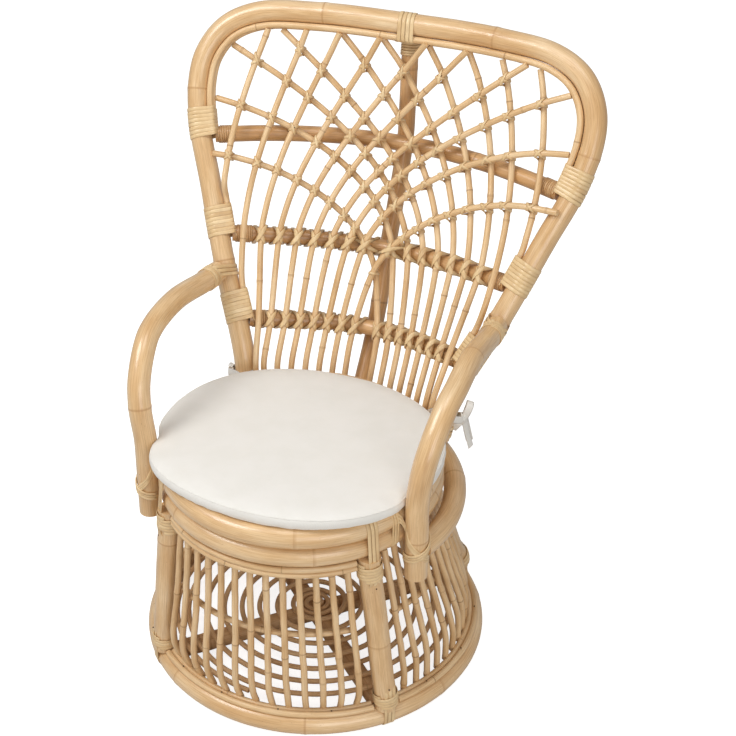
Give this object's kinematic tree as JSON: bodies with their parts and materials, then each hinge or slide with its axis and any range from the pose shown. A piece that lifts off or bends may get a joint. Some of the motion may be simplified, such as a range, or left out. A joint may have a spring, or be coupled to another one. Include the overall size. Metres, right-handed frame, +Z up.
{
  "type": "peacock chair",
  "caption": "Round-based rattan lounge chair with a wide reclined hoop back filled by a fan of crossing rods, bent pole arms and a tied round seat cushion.",
  "frame": {"origin": "on the floor under the middle of the chair's whole outline seen from above", "axes": "+Z up, the sitter faces -Y, +X is to the right of someone looking at the chair from the front"},
  "size_m": [0.632, 0.6616, 0.8387],
  "materials": {
    "rattan_pole": "peeled rattan pole, thin satin lacquer",
    "rattan_rod": "peeled thin rattan rod, satin",
    "cane": "flat split cane with its glossy skin outward",
    "rattan_floor": "darker unsanded rattan, matt",
    "cotton_canvas": "off-white plain-woven cotton canvas"
  },
  "bodies": {
    "root": {"back_hoop": "rattan_pole", "edging_rod_front": "rattan_rod", "edging_rod_rear": "rattan_rod", "fan_rod_left_0": "rattan_rod", "fan_rod_left_1": "rattan_rod", "fan_rod_left_2": "rattan_rod", "fan_rod_left_3": "rattan_rod", "fan_rod_left_4": "rattan_rod", "fan_rod_left_5": "rattan_rod", "fan_rod_left_6": "rattan_rod", "fan_rod_left_7": "rattan_rod", "fan_rod_left_8": "rattan_rod", "fan_rod_left_9": "rattan_rod", "fan_rod_right_0": "rattan_rod", "fan_rod_right_1": "rattan_rod", "fan_rod_right_2": "rattan_rod", "fan_rod_right_3": "rattan_rod", "fan_rod_right_4": "rattan_rod", "fan_rod_right_5": "rattan_rod", "fan_rod_right_6": "rattan_rod", "fan_rod_right_7": "rattan_rod", "fan_rod_right_8": "rattan_rod", "fan_rod_right_9": "rattan_rod", "crossbar_top": "rattan_pole", "crossbar_middle": "rattan_pole", "crossbar_lower": "rattan_pole", "back_pole": "rattan_pole", "seat_ring_upper": "rattan_pole", "seat_ring_lower": "rattan_pole", "seat_hoop_outer": "rattan_pole", "seat_grid": "rattan_rod", "arm_left": "rattan_pole", "arm_right": "rattan_pole", "base_ring": "rattan_pole", "post_front_right": "rattan_pole", "post_rear_right": "rattan_pole", "post_rear_left": "rattan_pole", "post_front_left": "rattan_pole", "base_panel_front": "rattan_rod", "base_panel_right": "rattan_rod", "base_panel_rear": "rattan_rod", "base_panel_left": "rattan_rod", "floor_cross": "rattan_floor", "floor_spiral": "rattan_floor", "cushion": "cotton_canvas", "binding_left_upper": "cane", "binding_left_middle": "cane", "binding_left_lower": "cane", "binding_left_arm_top": "cane", "binding_left_arm_foot": "cane", "binding_left_hoop_foot": "cane", "binding_right_upper": "cane", "binding_right_middle": "cane", "binding_right_lower": "cane", "binding_right_arm_top": "cane", "binding_right_arm_foot": "cane", "binding_right_hoop_foot": "cane", "binding_top": "cane", "tie_left": "cotton_canvas", "tie_right": "cotton_canvas"}
  },
  "joints": []
}
